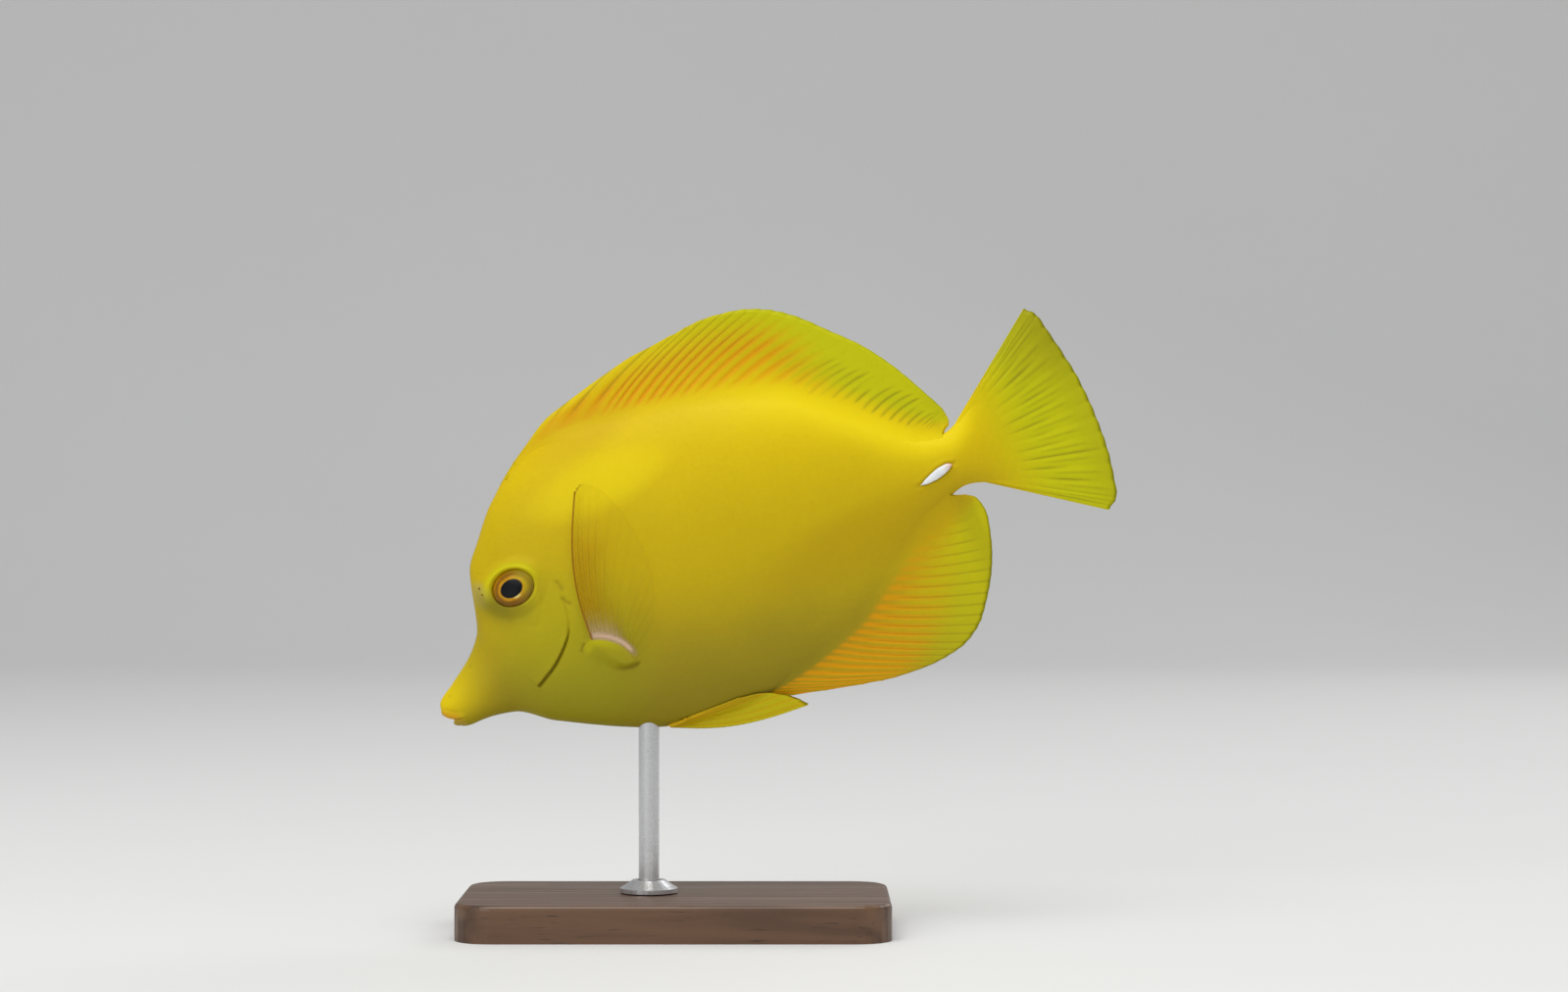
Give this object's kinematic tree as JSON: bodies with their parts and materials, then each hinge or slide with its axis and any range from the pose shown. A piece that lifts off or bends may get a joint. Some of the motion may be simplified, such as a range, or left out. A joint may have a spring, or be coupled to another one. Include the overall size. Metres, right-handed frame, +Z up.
{
  "type": "yellow tang display model",
  "caption": "Life-size yellow tang reef fish, swimming nose down with fins spread, held on a slim rod over a flat wooden base.",
  "frame": {"origin": "middle of the underside of the stand's base, on the surface that it stands on", "axes": "+Z up, -X towards the fish's snout, +X towards its tail, +Y to the fish's right"},
  "size_m": [0.1654, 0.058, 0.1509],
  "materials": {
    "skin": "bright yellow skin shading to olive on the belly, satin",
    "lips": "orange-tinted yellow lips, satin",
    "fin": "greenish yellow fin with orange-brown rays, satin",
    "eye": "black pupil in an orange-brown iris, wet gloss",
    "spine": "white, faintly pink at its rear end, glossy",
    "base_wood": "dark stained, oiled",
    "rod_steel": "brushed"
  },
  "bodies": {
    "root": {"head": "skin", "trunk": "skin", "tail_stalk": "skin", "upper_lip": "lips", "lower_jaw": "lips", "gill_cover_left": "skin", "gill_cover_right": "skin", "pectoral_root_left": "skin", "pectoral_root_right": "skin", "eye_left": "eye", "eye_right": "eye", "eyelid_left": "skin", "eyelid_right": "skin", "tail_spine_left": "spine", "tail_spine_right": "spine", "dorsal_fin": "fin", "anal_fin": "fin", "tail_fin": "fin", "pectoral_fin_left": "fin", "pectoral_fin_right": "fin", "pelvic_fin_left": "fin", "pelvic_fin_right": "fin", "stand_base": "base_wood", "stand_rod": "rod_steel", "stand_collar": "rod_steel"}
  },
  "joints": []
}
